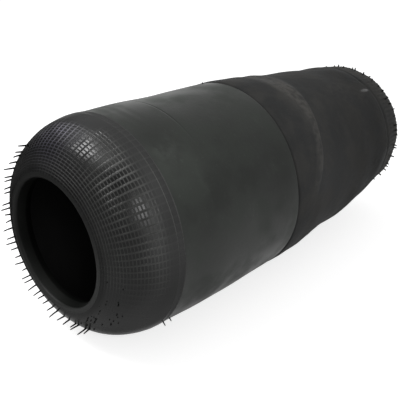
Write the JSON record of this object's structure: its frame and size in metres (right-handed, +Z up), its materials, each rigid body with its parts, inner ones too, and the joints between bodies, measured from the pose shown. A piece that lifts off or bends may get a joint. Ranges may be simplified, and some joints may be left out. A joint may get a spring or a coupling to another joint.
{
  "type": "air spring bellows",
  "caption": "Rolling-lobe air spring bellows: a cord-reinforced rubber sleeve with a wire bead in each mouth, a ribbed shoulder, a smooth barrel and a tapered far end.",
  "frame": {"origin": "centre of the bounding box's bottom, on the floor under the middle of the sleeve", "axes": "+X along the sleeve's axis, from the near (ribbed) mouth to the far mouth; +Z up"},
  "size_m": [0.6, 0.2508, 0.2498],
  "materials": {
    "shoulder_rubber": "moulded black rubber, slightly glossy",
    "barrel_rubber": "smooth satin black rubber",
    "matte_rubber": "matte black rubber, a little dusty",
    "liner_rubber": "smooth black rubber",
    "filler_rubber": "hard black rubber",
    "cord_ply": "rubbered cord fabric",
    "wrap_fabric": "rubbered woven tape",
    "bead_wire": "bronze-coated steel wire"
  },
  "bodies": {
    "near_end": {"near_bead_core": "bead_wire", "near_bead_wrap": "wrap_fabric", "near_bead_filler": "filler_rubber", "near_ply_turnup": "cord_ply", "near_chafer": "shoulder_rubber", "near_liner": "liner_rubber", "near_inner_ply": "cord_ply", "near_outer_ply": "cord_ply", "near_shoulder_cover": "shoulder_rubber", "barrel_cover": "barrel_rubber"},
    "waist": {"waist_liner": "liner_rubber", "waist_inner_ply": "cord_ply", "waist_outer_ply": "cord_ply", "waist_cover": "matte_rubber"},
    "taper": {"taper_liner": "liner_rubber", "taper_inner_ply": "cord_ply", "taper_outer_ply": "cord_ply", "taper_cover": "matte_rubber"},
    "far_end": {"far_liner": "liner_rubber", "far_inner_ply": "cord_ply", "far_outer_ply": "cord_ply", "far_cover": "matte_rubber", "far_ply_turnup": "cord_ply", "far_chafer": "shoulder_rubber", "far_bead_filler": "filler_rubber", "far_bead_wrap": "wrap_fabric", "far_bead_core": "bead_wire"}
  },
  "joints": [
    {"name": "stroke", "type": "slide", "parent": "near_end", "child": "waist", "axis": [1, 0, 0], "range_m": [-0.05, 0.02], "stiffness_N_per_m": 6000, "deforming": ["waist_liner", "waist_inner_ply", "waist_outer_ply", "waist_cover"]},
    {"name": "tilt_sideways", "type": "hinge", "parent": "waist", "child": "taper", "pos_m": [0.102, 0, 0.1244], "axis": [0, 0, 1], "range_deg": [-12, 12], "stiffness_Nm_per_rad": 40, "deforming": ["taper_liner", "taper_inner_ply", "taper_outer_ply", "taper_cover"]},
    {"name": "tilt_up_down", "type": "hinge", "parent": "taper", "child": "far_end", "pos_m": [0.162, 0, 0.1244], "axis": [0, -1, 0], "range_deg": [-12, 12], "stiffness_Nm_per_rad": 40, "springref_deg": 1.03}
  ]
}
